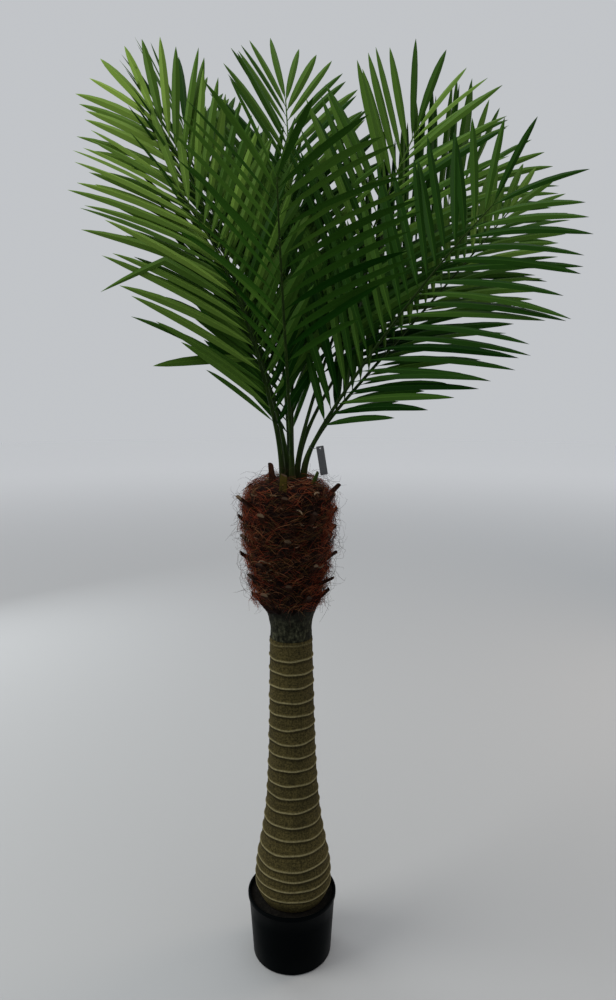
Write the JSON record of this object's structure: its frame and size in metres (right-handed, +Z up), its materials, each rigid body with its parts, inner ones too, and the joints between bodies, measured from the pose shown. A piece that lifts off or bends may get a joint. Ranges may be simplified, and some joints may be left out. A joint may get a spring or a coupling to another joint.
{
  "type": "artificial areca palm",
  "caption": "Potted artificial areca palm: a fan of feathery green fronds on a coir-wrapped boot, above a ringed burlap trunk that flares into a weighted black pot.",
  "frame": {"origin": "centre of the pot's flat underside", "axes": "+Z up along the trunk, -Y towards the front of the crown, +X to the right seen from the front"},
  "size_m": [0.9546, 0.7908, 1.8669],
  "materials": {
    "pot_plastic": "satin black moulded plastic",
    "cement": "dark cast cement, rough",
    "burlap": "coarse woven olive-brown cloth with paler ridges",
    "neck_bark": "dark mottled grey-green, matt",
    "coir": "reddish-brown loose coir matting",
    "leaf_green": "printed leaf cloth, soft sheen",
    "card": "plain grey card"
  },
  "bodies": {
    "root": {"pot": "pot_plastic", "pot_fill": "cement", "trunk": "burlap", "trunk_neck": "neck_bark", "fibre_boot": "coir", "hang_tag": "card", "frond_front": "leaf_green", "frond_right": "leaf_green", "frond_upper_right": "leaf_green", "frond_top": "leaf_green", "frond_upper_left": "leaf_green", "frond_left": "leaf_green", "frond_right_back": "leaf_green", "frond_back_left": "leaf_green", "frond_back_right": "leaf_green", "frond_back": "leaf_green"}
  },
  "joints": []
}
